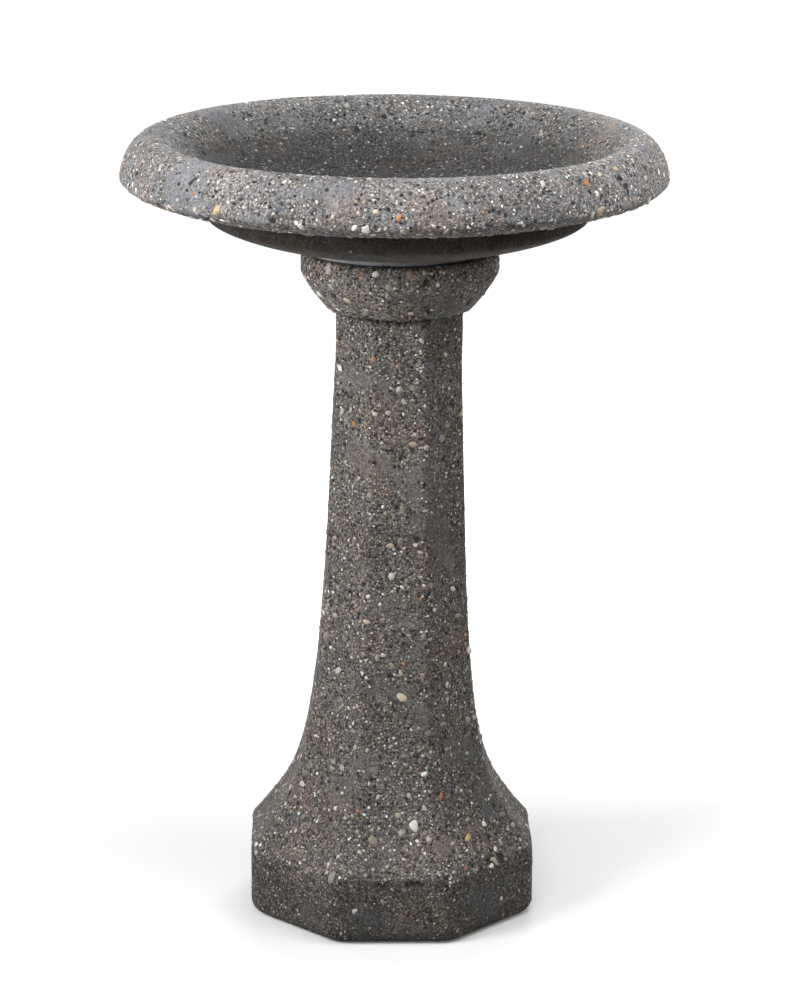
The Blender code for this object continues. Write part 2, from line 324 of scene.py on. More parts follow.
def bowl_spans():
    """The bowl's half section from the basin's middle to the boss: (name, polyline, spacing, columns)."""
    crest = (BOWL_RADIUS - CREST_INSET, TOP)
    floor_z = TOP - BASIN_DEPTH
    crest_in = [(crest[0] - CREST_INNER_ROUND * math.sin(CREST_INNER_TURN * k / SHORT_CURVE),
                 crest[1] - CREST_INNER_ROUND * (1.0 - math.cos(CREST_INNER_TURN * k / SHORT_CURVE)))
                for k in range(SHORT_CURVE, -1, -1)]
    wall_top = crest_in[0]
    wall_steps, wall_start, wall_high_start = 80, 46, 63
    wall = bezier_curve((BASIN_FLOOR_RADIUS, floor_z), (BASIN_FLOOR_RADIUS + BASIN_FLOOR_REACH, floor_z),
                        (wall_top[0] - BASIN_WALL_REACH * math.cos(CREST_INNER_TURN),
                         wall_top[1] - BASIN_WALL_REACH * math.sin(CREST_INNER_TURN)), wall_top, wall_steps)
    widest = (BOWL_RADIUS, TOP - RIM_WIDEST_DROP)
    lip = (BOWL_RADIUS - RIM_LIP_INSET, TOP - RIM_LIP_DROP)
    outer = quarter_curve(crest, widest, RIM_OUTER_FULLNESS, LONG_CURVE, True)
    roll = quarter_curve(widest, lip, RIM_UNDER_FULLNESS, LONG_CURVE, False)
    neck = BOWL_RADIUS - BODY_INSET
    groove_z = lip[1] + DRIP_GROOVE_RISE
    groove = [lip, (lip[0] - LIP_ROUND, lip[1] + 0.3 * LIP_ROUND), (0.5 * (lip[0] + neck), groove_z)]
    groove += quarter_curve((neck + BODY_NECK_ROUND, groove_z), (neck, groove_z - BODY_NECK_ROUND),
                            ROUND, SHORT_CURVE, True)
    body = [groove[-1]] + quarter_curve((neck, TOP - BODY_WALL_DROP), (FOOT_RADIUS, FOOT_Z),
                                        BODY_FULLNESS, LONG_CURVE, False)
    boss_z = FOOT_Z - BOSS_LENGTH
    boss_low, boss_end = (BOSS_RADIUS, boss_z + BOSS_CHAMFER), (BOSS_RADIUS - BOSS_CHAMFER, boss_z)
    return [("floor", [(LAST_RING_RADIUS, floor_z), (BASIN_FLOOR_RADIUS, floor_z)], 0.0040, QUARTER),
            ("wall_low", wall[:wall_start + 1], 0.0030, HALF),
            ("wall", wall[wall_start:wall_high_start + 1], 0.0024, FULL),
            ("wall_high", wall[wall_high_start:], 0.0024, FULL),
            ("crest", crest_in, 0.0023, FULL),
            ("outer", outer, 0.0022, FULL),
            ("roll", roll, 0.0022, FULL),
            ("groove", groove, 0.0030, HALF),
            ("body", body, 0.0030, HALF),
            ("foot", [(FOOT_RADIUS, FOOT_Z), (BOSS_RADIUS, FOOT_Z)], 0.008, QUARTER),
            ("boss", [(BOSS_RADIUS, FOOT_Z), boss_low], 0.006, QUARTER),
            ("boss_edge", [boss_low, boss_end], 0.003, QUARTER),
            ("boss_end", [boss_end, (LAST_RING_RADIUS, boss_z)], 0.009, QUARTER)]


def shaft_apothem(share):
    """Half the shaft's width, where share is 0 at its neck and 1 at its foot."""
    return SHAFT_NECK_APOTHEM + SHAFT_TAPER * share + SHAFT_SWEEP * share ** SHAFT_SWEEP_POWER


def pedestal_spans():
    """The pedestal's section from its underside to the socket: (name, polyline, spacing, columns).

    Each point of a polyline is an apothem, a height and a corner radius.
    """
    base = [(PLINTH_APOTHEM - PLINTH_BASE_ROUND * (1.0 - math.sin(a)),
             PLINTH_BASE_ROUND * (1.0 - math.cos(a)), PLINTH_CORNER)
            for a in np.linspace(0.0, math.pi / 2, SMALL_CURVE + 1)]
    turn = 0.5 * math.pi - math.atan(1.0 / SHOULDER_SLOPE)
    setback = PLINTH_LEDGE_ROUND * math.tan(0.5 * turn)
    ledge = [(PLINTH_APOTHEM - PLINTH_LEDGE_ROUND * (1.0 - math.cos(a)),
              PLINTH_HEIGHT - setback + PLINTH_LEDGE_ROUND * math.sin(a), PLINTH_CORNER)
             for a in (turn * k / 3 for k in range(4))]
    foot_z = PLINTH_HEIGHT + SHOULDER_HEIGHT
    straight_z = NECK_Z - SHAFT_STRAIGHT
    slope = (SHAFT_TAPER + SHAFT_SWEEP_POWER * SHAFT_SWEEP) / (straight_z - foot_z)
    start, end = ledge[-1][:2], (shaft_apothem(1.0), foot_z)
    drop = end[1] - start[1]
    sweep = bezier_curve(start, (start[0] - SHOULDER_LOWER_REACH * drop * SHOULDER_SLOPE,
                                 start[1] + SHOULDER_LOWER_REACH * drop),
                         (end[0] + SHOULDER_UPPER_REACH * drop * slope,
                          end[1] - SHOULDER_UPPER_REACH * drop), end, LONG_CURVE)
    shoulder = [(a, z, PLINTH_CORNER + (SHAFT_CORNER - PLINTH_CORNER) * k / LONG_CURVE)
                for k, (a, z) in enumerate(sweep)]
    shaft = [(shaft_apothem(1.0 - t), foot_z + (straight_z - foot_z) * t, SHAFT_CORNER)
             for t in np.linspace(0.0, 1.0, LONG_CURVE)]
    neck = (SHAFT_NECK_APOTHEM, NECK_Z, SHAFT_CORNER)
    flare = quarter_curve((CAPITAL_UNDER_RADIUS, NECK_Z), (CAPITAL_RADIUS, PEDESTAL_TOP - CAPITAL_BAND),
                          CAPITAL_FULLNESS, CURVE, True)
    flare += quarter_curve((CAPITAL_RADIUS, PEDESTAL_TOP - CAPITAL_TOP_ROUND),
                           (CAPITAL_RADIUS - CAPITAL_TOP_ROUND, PEDESTAL_TOP), ROUND, SMALL_CURVE, False)
    capital = [(r, z, r) for r, z in flare]
    socket = BOSS_RADIUS + SOCKET_CLEARANCE
    socket_z = FOOT_Z - BOSS_LENGTH - SOCKET_FLOOR_GAP
    socket_top, socket_low = (socket, PEDESTAL_TOP, socket), (socket, socket_z, socket)
    return [("under", [(0.012, 0.0, 0.004), base[0]], 0.012, AROUND),
            ("base", base, 0.0025, AROUND),
            ("plinth", [base[-1], ledge[0]], 0.0026, AROUND),
            ("ledge", ledge, 0.0012, AROUND),
            ("shoulder", shoulder, 0.0026, AROUND),
            ("shaft", shaft + [neck], 0.0030, AROUND),
            ("neck", [neck, (CAPITAL_UNDER_RADIUS, NECK_Z, CAPITAL_UNDER_RADIUS)], 0.0020, AROUND),
            ("capital", capital, 0.0023, AROUND),
            ("top", [capital[-1], socket_top], 0.007, AROUND),
            ("socket", [socket_top, socket_low], 0.007, AROUND),
            ("socket_floor", [socket_low, (LAST_RING_RADIUS, socket_z, LAST_RING_RADIUS)], 0.012, AROUND)]


def lean_pedestal(made):
    """The pedestal in the photograph leans a little to its right."""
    for row, name in zip(made[0], made[1]):
        share = np.clip((row[:, 2] - LEAN_START) / (PEDESTAL_TOP - LEAN_START), 0.0, 1.0)
        if name == "top":
            share = share * smooth_step(np.hypot(row[:, 0], row[:, 1]), TRUE_RADIUS,
                                        CAPITAL_RADIUS - CAPITAL_EDGE_WIDTH)
        if name not in ("socket", "socket_floor"):
            row[:, 0] += LEAN_AT_TOP * share
    return made


def shift_bowl_body(made):
    """The bowl's underside sits a little to the right of its rim."""
    for row, name in zip(made[0], made[1]):
        radius = np.hypot(row[:, 0], row[:, 1])
        if name == "body":
            row[:, 0] += BODY_SHIFT * smooth_step(TOP - row[:, 2], BODY_SHIFT_START, BODY_SHIFT_END)
        elif name == "foot":
            row[:, 0] += BODY_SHIFT * smooth_step(radius, TRUE_RADIUS, FOOT_RADIUS)
    return made


# ---------------------------------------------------------------- how rough each span is
def look(exposed, relief, tone_and_painted_light, stones=0, size=1.0, holes=1.0):
    """What a span of a section looks like.

    exposed is the share of gravel that shows, relief how rough the skin is, the third argument what the
    cement's colour is multiplied by, partly its own tone and partly painted light and shade, stones the
    number of real stones per square metre, size how large they run, and holes how many pits there are beside
    other spans.
    """
    return dict(exposed=exposed, relief=relief, tone_and_painted_light=tone_and_painted_light, stones=stones, size=size, holes=holes)


# exposed, relief, tone with painted light and shade, stones, size, holes
LOOKS = {
    # The basin darkens towards its floor and lightens towards the crest: painted shade and painted light,
    # with darker damp concrete low down.
    "floor": look(0.75, 0.5, (0.30, 0.30, 0.31), 8000, 0.80),
    "wall_low": look(0.85, 0.6, (0.31, 0.31, 0.32), 9000, 0.80),
    "wall": look(0.90, 0.6, (0.43, 0.43, 0.43), 10000, 0.82),
    "wall_high": look(0.90, 0.6, (0.86, 0.86, 0.86), 11000, 0.85),
    "crest": look(0.85, 0.6, (1.12, 1.12, 1.13), 13000, 0.85),
    # The rim's outer face and roll are lighter: the rim's own lighter cement, plus painted light on the roll
    # where it turns under.
    "outer": look(0.80, 0.9, (1.36, 1.34, 1.34), 17000, 0.90),
    "roll": look(1.00, 1.3, (1.56, 1.52, 1.48), 31000, 1.30),
    # The drip groove and the underside are darker: their own darker cast face, plus painted shade under the
    # rim.
    "groove": look(0.12, 0.4, (0.22, 0.20, 0.17), 300, 0.80),
    "body": look(0.12, 0.5, (0.20, 0.17, 0.14), 250, 0.70),
    "foot": look(0.10, 0.0, (0.45, 0.42, 0.40)),
    "boss": look(0.10, 0.0, (0.75, 0.74, 0.72)),
    "boss_edge": look(0.10, 0.0, (0.75, 0.74, 0.72)),
    "boss_end": look(0.10, 0.0, (0.75, 0.74, 0.72)),
    "under": look(0.20, 0.0, (0.85, 0.83, 0.80)),
    # Base and plinth are darker towards the bottom: painted shade.
    "base": look(0.70, 0.7, (0.50, 0.49, 0.48), 10000, 0.80),
    "plinth": look(0.75, 0.9, (0.59, 0.59, 0.59), 12000, 0.80),
    "ledge": look(1.00, 1.3, (0.90, 0.89, 0.88), 30000, 1.25, 6),
    "shoulder": look(1.00, 0.9, (0.90, 0.89, 0.87), 22000, 1.08),
    "shaft": look(0.95, 0.9, (0.98, 0.96, 0.94), 18500, 1.00),
    # The neck is darker, painted shade in the crease under the capital; the capital is lighter, painted
    # light.
    "neck": look(0.80, 1.5, (0.60, 0.56, 0.52), 9000, 1.00, 14),
    "capital": look(1.00, 1.6, (1.48, 1.43, 1.38), 21000, 1.12),
    "top": look(0.30, 0.0, (0.90, 0.88, 0.86)),
    "socket": look(0.30, 0.0, (0.80, 0.78, 0.76)),
    "socket_floor": look(0.30, 0.0, (0.80, 0.78, 0.76)),
}
EASING_ROUNDS, RELIEF_STEP = 10, 0.6     # relief rises by no more than that from one row to the next

BROAD_LUMP_HEIGHT, BROAD_LUMP_SIZE = 0.00045, 0.045
FINE_LUMP_HEIGHT, FINE_LUMP_SIZE = 0.00034, 0.011
PIT_RADII, PIT_DEPTHS = (0.0016, 0.0038), (0.0006, 0.0018)
BLACK_DEPTH = 0.0014                     # a hole as deep as this is painted fully black, as painted shade

# Torn hollows under the capital and along the plinth's ledge: how many, angle from +X and its spread in
# degrees (-90 faces the camera), reach, height and its spread, radius range, depth range.
HOLLOWS = [
    (40, -92, 28, 0.064, NECK_Z - 0.001, 0.0022, (0.0012, 0.0030), (0.0012, 0.0030)),
    (14, -66, 15, 0.065, NECK_Z + 0.001, 0.0040, (0.0018, 0.0036), (0.0018, 0.0036)),
    (26, -42, 15, PLINTH_APOTHEM - 0.003, PLINTH_HEIGHT + 0.001, 0.0040, (0.0014, 0.0036), (0.0012, 0.0028)),
    (30, -92, 15, PLINTH_APOTHEM - 0.001, PLINTH_HEIGHT - 0.004, 0.0012, (0.0012, 0.0028), (0.0010, 0.0022)),
]

# Smooth spots that the photograph shows: heading, reach, height, radius.
BARE_SPOTS = [(-50, 0.236, 0.742, 0.034), (-35, 0.132, 0.024, 0.018), (-14, 0.134, 0.026, 0.017),
              (20, 0.066, 0.430, 0.022), (25, 0.068, 0.395, 0.016), (38, 0.134, 0.030, 0.020)]
BARE_PATCH_SIZE, BARE_FROM, BARE_FULL = 0.036, 0.20, 0.44
BARE_SPOT_EDGE, BARE_SPOT_CORE, BARE_SPOT_WANDER = 1.15, 0.75, 0.5
BARE_COVER = 0.65                        # the share of gravel that bare cement hides


def spread_over_rows(rows, names, key):
    """A look's value at each vertex, eased over neighbouring rows so that no edge shows."""
    values = np.array([LOOKS[name][key] for name in names], float)
    eased = values.copy()
    for _ in range(EASING_ROUNDS):
        eased = 0.25 * np.roll(eased, 1, 0) + 0.5 * eased + 0.25 * np.roll(eased, -1, 0)
        eased[0], eased[-1] = values[0], values[-1]
    if key == "relief":
        eased[values == 0] = 0.0
        for _ in range(2):
            eased[1:-1] = np.minimum(eased[1:-1], RELIEF_STEP + np.minimum(eased[:-2], eased[2:]))
    return np.concatenate([np.repeat(eased[k:k + 1], len(r), 0) for k, r in enumerate(rows)])


def dent(points, at, radius, deep):
    return deep * np.exp(-(np.linalg.norm(points - at, axis=1) / radius) ** 2)


def pits_over(points, chance, count, seed):
    """Depth of scattered holes left by air and lost stones, as metres at each vertex."""
    rng = np.random.default_rng(seed)
    depth = np.zeros(len(points))
    for at in rng.choice(len(points), count, p=chance / chance.sum()):
        radius, deep = rng.uniform(*PIT_RADII), rng.uniform(*PIT_DEPTHS)
        depth = np.maximum(depth, dent(points, points[at], radius, deep))
    return depth


def torn_hollows(points, seed):
    """Depth of the deeper torn holes, as metres at each vertex. Those on the plinth follow its octagon."""
    rng = np.random.default_rng(seed)
    depth = np.zeros(len(points))
    for count, heading, spread, reach, height, rise, radii, depths in HOLLOWS:
        aside = LEAN_AT_TOP * height / PEDESTAL_TOP
        for _ in range(count):
            angle = math.radians(rng.normal(heading, spread))
            off = (angle + math.pi / 8) % (math.pi / 4) - math.pi / 8
            out = reach / math.cos(off) if reach > CAPITAL_RADIUS else reach
            at = np.array((out * math.cos(angle) + aside, out * math.sin(angle), rng.normal(height, rise)))
            deep, radius = rng.uniform(*depths), rng.uniform(*radii)
            depth = np.maximum(depth, dent(points, at, radius, deep))
    return depth


def bare_share(points, seed):
    """Where a smooth skin of cement still covers the stones, from 0 to 1."""
    wander = rough_noise(points, BARE_PATCH_SIZE, seed + 21, 2)
    bare = smooth_step(wander, BARE_FROM, BARE_FULL)
    for heading, reach, height, radius in BARE_SPOTS:
        far = np.linalg.norm(points - facing(heading, reach, height), axis=1) / radius
        far -= BARE_SPOT_WANDER * wander
        bare = np.maximum(bare, smooth_step(-far, -BARE_SPOT_EDGE, -BARE_SPOT_CORE))
    return bare


def roughen(mesh, rows, names, seed, pits):
    """Moves the skin in and out as cast concrete is, and stores what the material reads."""
    points, normals = positions_and_normals(mesh)
    relief = spread_over_rows(rows, names, "relief")
    lumps = (BROAD_LUMP_HEIGHT * rough_noise(points, BROAD_LUMP_SIZE, seed, 2)
             + FINE_LUMP_HEIGHT * rough_noise(points, FINE_LUMP_SIZE, seed + 5, 3, 0.7))
    depth = pits_over(points, relief * spread_over_rows(rows, names, "holes"), pits, seed + 9)
    if "neck" in names:
        depth = np.maximum(depth, torn_hollows(points, seed + 13))
    bare = bare_share(points, seed)
    move = relief * lumps - depth * (relief > 0)
    mesh.vertices.foreach_set("co", (points + normals * move[:, None]).astype(np.float32).ravel())
    mesh.update()
    float_attribute(mesh, "exposed", spread_over_rows(rows, names, "exposed") * (1.0 - BARE_COVER * bare))
    float_attribute(mesh, "bare", bare)
    # How deep a hole is, up to BLACK_DEPTH; the material paints it black as painted shade.
    float_attribute(mesh, "hollow", np.clip(depth / BLACK_DEPTH, 0.0, 1.0))
    # Each span's tone, with its painted light and shade, for the material and the stones.
    colour_attribute(mesh, "tone_and_painted_light", spread_over_rows(rows, names, "tone_and_painted_light"))


def make_skin(name, made, seed, pits, material, downwards):
    rows, names, shares = made
    vertices, faces = ring_mesh(rows, downwards)
    thing = new_mesh(name, vertices, faces, material)
    strip_uvs(thing.data, rows, shares)
    roughen(thing.data, rows, names, seed, pits)
    return thing


# ---------------------------------------------------------------- materials
class Graph:
    """Short forms for building the node tree of a material or a world."""

    def __init__(self, owner):
        owner.use_nodes = True
        self.owner, self.tree = owner, owner.node_tree

    def node(self, kind, **settings):
        made = self.tree.nodes.new(kind)
        for key, value in settings.items():
            setattr(made, key, value)
        return made

    def feed(self, socket, value):
        if isinstance(value, bpy.types.NodeSocket):
            self.tree.links.new(value, socket)
        else:
            socket.default_value = value

    def feed_all(self, made, *values):
        for socket, value in zip(made.inputs, values):
            self.feed(socket, value)
        return made.outputs

    def math(self, operation, *values):
        return self.feed_all(self.node("ShaderNodeMath", operation=operation), *values)[0]

    def times(self, first, second):
        return self.math("MULTIPLY", first, second)

    def vector(self, operation, *values):
        outputs = self.feed_all(self.node("ShaderNodeVectorMath", operation=operation), *values)
        return outputs["Value" if operation == "LENGTH" else "Vector"]

    def place(self):
        return self.node("ShaderNodeTexCoord").outputs["Object"]

    def mix(self, share, first, second, blend="MIX"):
        made = self.node("ShaderNodeMix", data_type="RGBA", blend_type=blend)
        self.feed(made.inputs["Factor"], share)
        for key, value in (("A", first), ("B", second)):
            self.feed(made.inputs[key], value if isinstance(value, bpy.types.NodeSocket) else (*value, 1.0))
        return made.outputs["Result"]

    def step(self, value, low, high, to_low=0.0, to_high=1.0):
        made = self.node("ShaderNodeMapRange", interpolation_type="SMOOTHSTEP")
        for key, number in zip(("Value", "From Min", "From Max", "To Min", "To Max"),
                               (value, low, high, to_low, to_high)):
            self.feed(made.inputs[key], number)
        return made.outputs["Result"]

    def noise(self, vector, scale, detail=2.0, roughness=0.5, output="Fac"):
        made = self.node("ShaderNodeTexNoise")
        self.feed(made.inputs["Vector"], vector)
        made.inputs["Scale"].default_value = scale
        made.inputs["Detail"].default_value = detail
        made.inputs["Roughness"].default_value = roughness
        return made.outputs[output]

    def cells(self, vector, scale):
        """Distance to the nearest cell's middle, and three random values for that cell."""
        made = self.node("ShaderNodeTexVoronoi", feature="F1")
        self.feed(made.inputs["Vector"], vector)
        made.inputs["Scale"].default_value = scale
        return made.outputs["Distance"], self.feed_all(self.node("ShaderNodeSeparateColor"),
                                                       made.outputs["Color"])

    def ramp(self, value, stops):
        made = self.node("ShaderNodeValToRGB")
        self.feed(made.inputs[0], value)
        elements = made.color_ramp.elements
        while len(elements) < len(stops):
            elements.new(0.5)
        for element, (place, colour) in zip(elements, stops):
            element.position = place
            element.color = (*colour, 1.0)
        return made.outputs["Color"]

    def attribute(self, name, output="Fac"):
        return self.node("ShaderNodeAttribute", attribute_name=name).outputs[output]

    def surface(self, colour, roughness, specular, height, strength, distance):
        """Feeds the shader, with height as a bump of that strength and distance."""
        shader = self.tree.nodes["Principled BSDF"]
        bump = self.node("ShaderNodeBump")
        bump.inputs["Strength"].default_value = strength
        bump.inputs["Distance"].default_value = distance
        self.feed(bump.inputs["Height"], height)
        self.feed(shader.inputs["Normal"], bump.outputs[0])
        self.feed(shader.inputs["Base Color"], colour)
        self.feed(shader.inputs["Roughness"], roughness)
        shader.inputs["Specular IOR Level"].default_value = specular
        return self.owner


GRAVEL = [(0.00, (0.014, 0.014, 0.015)), (0.20, (0.040, 0.040, 0.044)), (0.32, (0.105, 0.100, 0.094)),
          (0.44, (0.165, 0.170, 0.190)), (0.54, (0.300, 0.262, 0.215)), (0.66, (0.400, 0.392, 0.380)),
          (0.74, (0.420, 0.330, 0.240)), (0.81, (0.540, 0.495, 0.425)), (0.89, (0.660, 0.650, 0.635)),
          (0.96, (0.900, 0.885, 0.860))]
# The two sizes of gravel that the material paints: cells per metre, share of the cells that hold a stone,
# radius of the largest in cells, its height in the bump, how dark the painted shade in the gap round it is.
GRAVEL_LAYERS = ((520.0, 0.50, 0.46, 0.30, 0.40), (265.0, 0.72, 0.50, 0.60, 0.75))
SAND = [(0.37, (0.07, 0.065, 0.06)), (0.47, (0.78, 0.78, 0.78)), (0.55, (1.24, 1.23, 1.22)),
        (0.65, (2.90, 2.85, 2.78))]
STAIN, WARM, BARE_CEMENT = (0.82, 0.80, 0.78), (1.10, 0.98, 0.88), (1.03, 1.07, 1.13)
# Colours of painted shade: in the gap round a stone, in holes and hollows, and in the joints above and below
# the seat ring.
GAP_SHADE, HOLE_SHADE, JOINT_SHADE = (0.030, 0.027, 0.025), (0.014, 0.012, 0.011), (0.012, 0.011, 0.010)


def concrete_material(name, cement_light, cement_dark, sand_share, hole_share):
    """Exposed-aggregate concrete: cement with sand, stains and bare patches, each span's tone with its
    painted light and shade, two sizes of gravel with painted shade in the gap round each stone, and holes
    painted near-black as shade.

    sand_share is how strongly the sand shows, and hole_share the share of the cells that are pinholes.
    """
    g = Graph(bpy.data.materials.new(name))
    place = g.place()
    drift = g.noise(place, 330.0, 1.0, 0.5, "Color")
    bent = g.vector("MULTIPLY_ADD", drift, (0.0016, 0.0016, 0.0016), place)      # so no stone is quite round

    exposed, hollow, bare = g.attribute("exposed"), g.attribute("hollow"), g.attribute("bare")
    tone_and_painted_light = g.attribute("tone_and_painted_light", "Color")
    patches = g.noise(place, 11.0, 3.0, 0.55)
    warmth = g.noise(place, 21.0, 3.0, 0.5)
    mottle = g.noise(place, 62.0, 5.0, 0.62)
    sand = g.noise(place, 430.0, 3.0, 0.72)

    colour = g.mix(g.step(patches, 0.35, 0.65), cement_dark, cement_light)
    colour = g.mix(g.step(mottle, 0.38, 0.64, 0.0, 0.55), colour, STAIN, "MULTIPLY")
    colour = g.mix(g.step(warmth, 0.50, 0.64, 0.0, 0.9), colour, WARM, "MULTIPLY")
    colour = g.mix(g.times(bare, 0.9), colour, BARE_CEMENT, "MULTIPLY")
    # Each span's own tone and its painted light and shade: basin, underside, neck and plinth darker, rim and
    # capital lighter.
    colour = g.mix(1.0, colour, tone_and_painted_light, "MULTIPLY")
    sanded = g.math("MULTIPLY_ADD", bare, -0.5 * sand_share, sand_share)
    colour = g.mix(sanded, colour, g.ramp(sand, SAND), "MULTIPLY")
    height = g.math("ADD", g.times(mottle, 0.35), g.times(sand, 0.22))

    for scale, share, largest, lift, gap in GRAVEL_LAYERS:
        far, random = g.cells(bent, scale)
        shown = g.step(g.math("SUBTRACT", g.times(exposed, share), random[0]), 0.0, 0.02)
        reach = g.math("MULTIPLY_ADD", random[1], largest * 0.5, largest * 0.5)
        inside = g.math("SUBTRACT", reach, far)
        # Painted shade in the gap round each stone.
        crevice_shade = g.times(g.step(inside, -0.16, -0.02), shown)
        stone = g.times(g.step(inside, 0.0, 0.08), shown)
        dome = g.times(g.step(inside, 0.0, 0.22), shown)
        # The painted gravel takes the span's tone and painted light and shade too.
        tone = g.mix(0.7, g.ramp(random[2], GRAVEL), tone_and_painted_light, "MULTIPLY")
        colour = g.mix(g.times(crevice_shade, gap), colour, GAP_SHADE)
        colour = g.mix(g.times(stone, 0.94), colour, tone)
        height = g.math("ADD", height, g.times(dome, lift))

    # Pinholes, and the deep hollows of the skin, painted near-black: painted shade in the recesses.
    far, random = g.cells(bent, 190.0)
    hole = g.times(g.step(random[0], 1.0 - hole_share, 1.01 - hole_share), g.step(far, 0.16, 0.30, 1.0, 0.0))
    hole = g.times(hole, g.step(exposed, 0.2, 0.7))
    hole = g.math("MAXIMUM", hole, g.step(g.math("MULTIPLY_ADD", sand, 0.9, hollow), 0.85, 1.25))
    colour = g.mix(g.times(hole, 0.90), colour, HOLE_SHADE)
    height = g.math("SUBTRACT", height, g.times(hole, 0.7))
    return g.surface(colour, g.step(mottle, 0.3, 0.7, 0.78, 0.95), 0.28, height, 1.0, 0.0023)


def stone_material(name):
    """Embedded stones: each has its own colour, clouded and speckled, and is smoother than cement."""
    g = Graph(bpy.data.materials.new(name))
    place = g.place()
    cloud = g.noise(place, 420.0, 4.0, 0.6)
    speckle = g.noise(place, 1500.0, 2.0, 0.6)
    clouds = g.ramp(cloud, [(0.30, (0.66, 0.65, 0.64)), (0.52, (1.0, 1.0, 1.0)), (0.72, (1.22, 1.20, 1.18))])
    colour = g.mix(1.0, g.attribute("stone", "Color"), clouds, "MULTIPLY")
    colour = g.mix(g.step(speckle, 0.40, 0.62, 0.0, 0.35), colour, (0.10, 0.095, 0.09))
    return g.surface(colour, g.step(speckle, 0.3, 0.7, 0.48, 0.72), 0.45, cloud, 0.7, 0.0003)


def ring_material(name):
    """Smooth grey bedding cement with a few pores, set lighter as painted light against the shade of its
    gap, and painted shade along its lower and upper edge where it meets the capital and the bowl.
    """
    g = Graph(bpy.data.materials.new(name))
    place = g.place()
    cloud = g.noise(place, 40.0, 5.0, 0.6)
    grain = g.noise(place, 700.0, 3.0, 0.6)
    colour = g.mix(g.step(cloud, 0.35, 0.65), (0.340, 0.347, 0.360), (0.440, 0.447, 0.460))
    colour = g.mix(g.step(grain, 0.52, 0.70, 0.0, 0.5), colour, (0.085, 0.083, 0.082))
    far, random = g.cells(place, 260.0)
    pore = g.times(g.step(random[0], 0.90, 0.91), g.step(far, 0.08, 0.22, 1.0, 0.0))
    colour = g.mix(pore, colour, (0.03, 0.028, 0.026))

    # Painted shade along the lower edge against the capital and the upper outer edge under the bowl.
    level = g.feed_all(g.node("ShaderNodeSeparateXYZ"), place)[2]
    wander = g.math("MULTIPLY_ADD", g.noise(place, 45.0, 3.0), 0.0016, level)
    low = g.step(wander, ring_low.z + 0.0018, ring_low.z + 0.0028, 1.0, 0.0)
    reach = g.vector("LENGTH", g.vector("MULTIPLY", place, (1.0, 1.0, 0.0)))
    edge = g.step(reach, ring_high.x - 0.0060, ring_high.x - 0.0015)
    high = g.times(edge, g.step(wander, ring_high.z - 0.0006, ring_high.z + 0.0004))
    colour = g.mix(g.times(g.math("MAXIMUM", low, high), 0.93), colour, JOINT_SHADE)
    height = g.math("SUBTRACT", g.times(grain, 0.5), pore)
    return g.surface(colour, g.step(cloud, 0.3, 0.7, 0.55, 0.75), 0.4, height, 0.6, 0.0004)


# ---------------------------------------------------------------- stones
PALETTE = [  # share, colour
    (0.08, (0.016, 0.016, 0.017)), (0.07, (0.048, 0.050, 0.057)), (0.08, (0.110, 0.122, 0.155)),
    (0.13, (0.190, 0.182, 0.172)), (0.12, (0.300, 0.255, 0.205)), (0.17, (0.390, 0.372, 0.350)),
    (0.10, (0.510, 0.430, 0.325)), (0.020, (0.420, 0.195, 0.070)), (0.014, (0.240, 0.105, 0.075)),
    (0.14, (0.620, 0.580, 0.520)), (0.09, (0.880, 0.850, 0.800))]
DARK_TONE = 0.2                          # red, green and blue of a dark stone add up to less

TAN, WHITE, OCHRE = (0.44, 0.35, 0.24), (0.72, 0.68, 0.62), (0.62, 0.46, 0.25)
ORANGE, RUST, BROWN = (0.48, 0.21, 0.06), (0.300, 0.120, 0.080), (0.300, 0.215, 0.150)
BLACK, SLATE, TEAL = (0.012, 0.012, 0.013), (0.075, 0.092, 0.125), (0.035, 0.062, 0.075)

# The large stones that stand out: heading, reach, height, radius, colour.
LARGE_STONES = {
    "bowl": [
        (-39, 0.253, 0.717, 0.0066, OCHRE), (42, 0.246, 0.736, 0.0046, ORANGE),
        (53, 0.240, 0.744, 0.0042, OCHRE), (31, 0.244, 0.740, 0.0044, WHITE),
        (44, 0.254, 0.712, 0.0052, TAN), (-60, 0.253, 0.716, 0.0044, WHITE),
        (-7, 0.254, 0.711, 0.0044, WHITE), (-24, 0.253, 0.722, 0.0044, SLATE),
        (22, 0.253, 0.720, 0.0046, SLATE), (150, 0.252, 0.722, 0.0052, TAN),
        (205, 0.253, 0.716, 0.0048, WHITE)],
    "pedestal": [
        (-40, 0.061, 0.483, 0.0040, ORANGE), (-10, 0.062, 0.489, 0.0042, BLACK),
        (-30, 0.061, 0.548, 0.0048, SLATE), (31, 0.061, 0.542, 0.0052, SLATE),
        (36, 0.062, 0.478, 0.0046, SLATE), (16, 0.064, 0.472, 0.0046, TAN),
        (-2, 0.061, 0.484, 0.0040, BROWN), (11, 0.106, 0.108, 0.0062, WHITE),
        (47, 0.118, 0.085, 0.0062, TEAL), (55, 0.106, 0.108, 0.0050, TEAL),
        (37, 0.116, 0.089, 0.0050, OCHRE), (1, 0.072, 0.255, 0.0050, BROWN),
        (15, 0.068, 0.372, 0.0046, WHITE), (-1, 0.065, 0.372, 0.0044, TAN),
        (9, 0.064, 0.437, 0.0044, BROWN), (66, 0.092, 0.155, 0.0048, SLATE),
        (29, 0.132, 0.071, 0.0048, RUST), (8, 0.093, 0.640, 0.0046, BROWN),
        (-16, 0.135, 0.036, 0.0044, WHITE), (170, 0.066, 0.400, 0.0048, TAN),
        (215, 0.106, 0.108, 0.0056, WHITE)],
}

